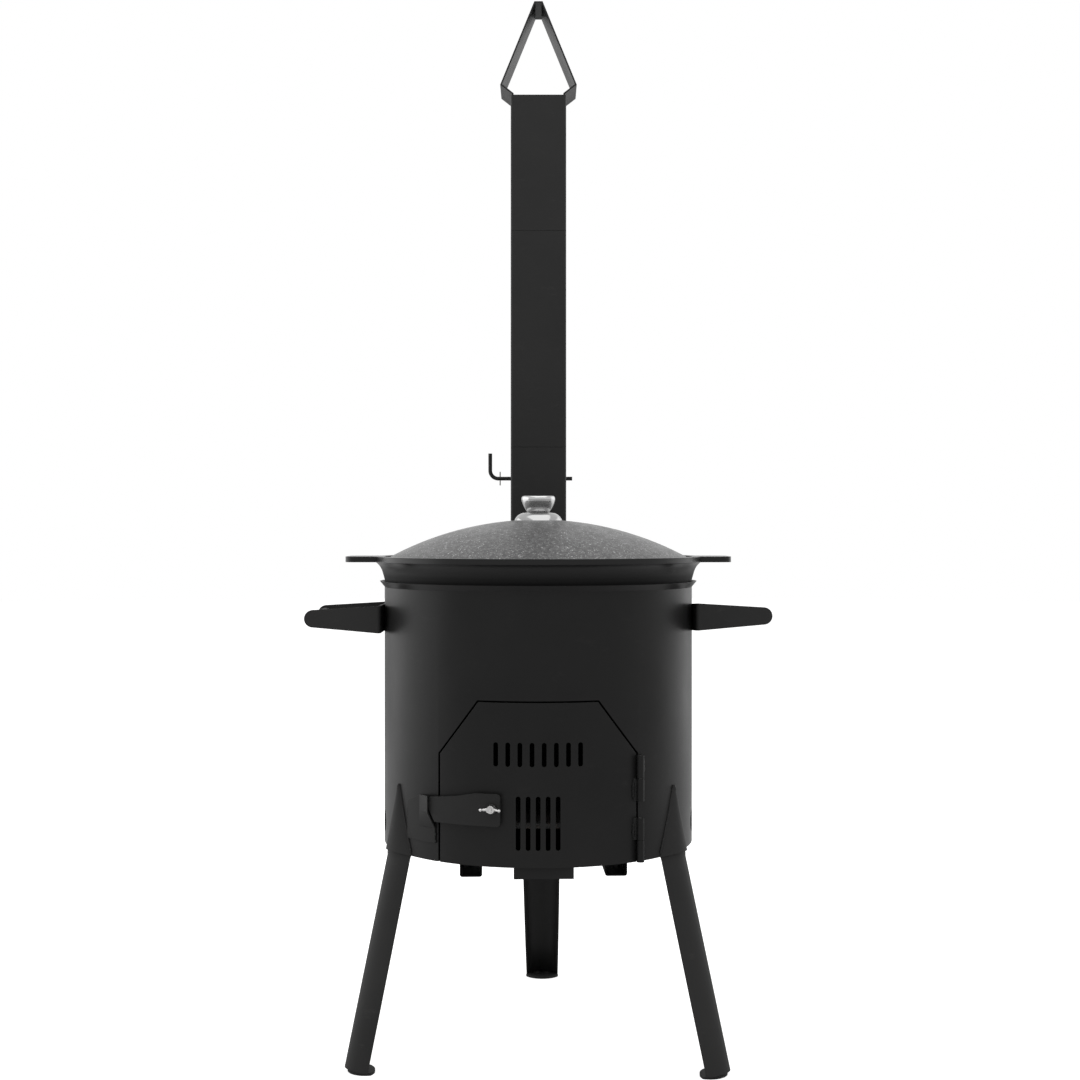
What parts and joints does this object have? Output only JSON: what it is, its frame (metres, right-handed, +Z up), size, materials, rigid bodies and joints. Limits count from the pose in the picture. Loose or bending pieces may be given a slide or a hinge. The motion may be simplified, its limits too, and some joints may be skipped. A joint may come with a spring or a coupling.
{
  "type": "cauldron stove",
  "caption": "Wood-fired cauldron stove: steel drum on splayed legs with an air-slotted fire door, rear chimney with damper and rain cap, side handles, and a lidded cauldron.",
  "frame": {"origin": "on the floor, midway between the outermost points left to right and front to back", "axes": "+Z up along the chimney, the fire door faces -Y, +X to the right seen from the front"},
  "size_m": [0.534, 0.4897, 1.2836],
  "materials": {
    "black_paint": "satin",
    "bare_steel": "satin",
    "zinc": "satin",
    "grate_iron": "rough",
    "cauldron_iron": "satin",
    "lid_enamel": "satin, speckled",
    "bright_chrome": "polished"
  },
  "bodies": {
    "stove": {"drum": "black_paint", "bottom_plate": "black_paint", "bottom_stubs": "black_paint", "grate_rests": "black_paint", "drum_knuckles": "black_paint", "hinge_pins": "bare_steel", "latch_catch": "black_paint", "leg_socket_left": "black_paint", "leg_socket_right": "black_paint", "leg_socket_rear": "black_paint", "handle_bracket_left": "black_paint", "handle_grip_left": "black_paint", "handle_bracket_right": "black_paint", "handle_grip_right": "black_paint", "smoke_collar": "black_paint", "flue_duct": "black_paint", "duct_floor": "black_paint", "duct_sleeve": "black_paint"},
    "door": {"door_panel": "black_paint", "door_knuckles": "black_paint", "latch_bolt": "zinc", "latch_spacer": "black_paint", "latch_washer": "zinc"},
    "latch": {"latch_bar": "black_paint"},
    "wing_nut_body": {"wing_nut": "zinc"},
    "damper": {"damper_rod": "black_paint", "damper_blade": "black_paint", "damper_cotter": "bare_steel"},
    "grate": {"fire_grate": "grate_iron"},
    "pot": {"cauldron": "cauldron_iron"},
    "lid_body": {"lid": "lid_enamel", "knob_flange": "bright_chrome", "knob": "bright_chrome", "knob_screw": "bare_steel"},
    "left_leg": {"leg_left": "black_paint", "foot_left": "black_paint"},
    "right_leg": {"leg_right": "black_paint", "foot_right": "black_paint"},
    "rear_leg": {"leg_rear": "black_paint", "foot_rear": "black_paint"},
    "middle_section": {"chimney_middle": "black_paint", "middle_sleeve": "black_paint"},
    "top_section": {"chimney_top": "black_paint", "rain_cap": "black_paint"}
  },
  "joints": [
    {"name": "door_hinge", "type": "hinge", "parent": "stove", "child": "door", "pos_m": [0.1113, -0.19628, 0.238], "axis": [0, 0, 1], "range_deg": [0, 120]},
    {"name": "latch_pivot", "type": "hinge", "parent": "door", "child": "latch", "pos_m": [-0.04944, -0.2274, 0.3018], "axis": [0.2672, 0.9636, 0], "range_deg": [0, 22]},
    {"name": "wing_nut_turn", "type": "hinge", "parent": "door", "child": "wing_nut_body", "pos_m": [-0.05051, -0.23125, 0.3018], "axis": [-0.2672, -0.9636, 0], "continuous": true},
    {"name": "damper_turn", "type": "hinge", "parent": "stove", "child": "damper", "pos_m": [0, 0.18287, 0.6664], "axis": [1, 0, 0], "range_deg": [0, 90]},
    {"name": "grate_lift", "type": "slide", "parent": "stove", "child": "grate", "axis": [0, 0, 1], "range_m": [0, 0.08]},
    {"name": "pot_lift", "type": "slide", "parent": "stove", "child": "pot", "axis": [0, 0, 1], "range_m": [0, 0.25]},
    {"name": "lid_lift", "type": "slide", "parent": "pot", "child": "lid_body", "axis": [0, 0, 1], "range_m": [0, 0.2]},
    {"name": "left_leg_slide", "type": "slide", "parent": "stove", "child": "left_leg", "axis": [0, 0, -1], "range_m": [0, 0.05]},
    {"name": "right_leg_slide", "type": "slide", "parent": "stove", "child": "right_leg", "axis": [0, 0, -1], "range_m": [0, 0.05]},
    {"name": "rear_leg_slide", "type": "slide", "parent": "stove", "child": "rear_leg", "axis": [0, 0, -1], "range_m": [0, 0.05]},
    {"name": "middle_lift", "type": "slide", "parent": "stove", "child": "middle_section", "axis": [0, 0, 1], "range_m": [0, 0.06]},
    {"name": "top_lift", "type": "slide", "parent": "middle_section", "child": "top_section", "axis": [0, 0, 1], "range_m": [0, 0.06]}
  ]
}
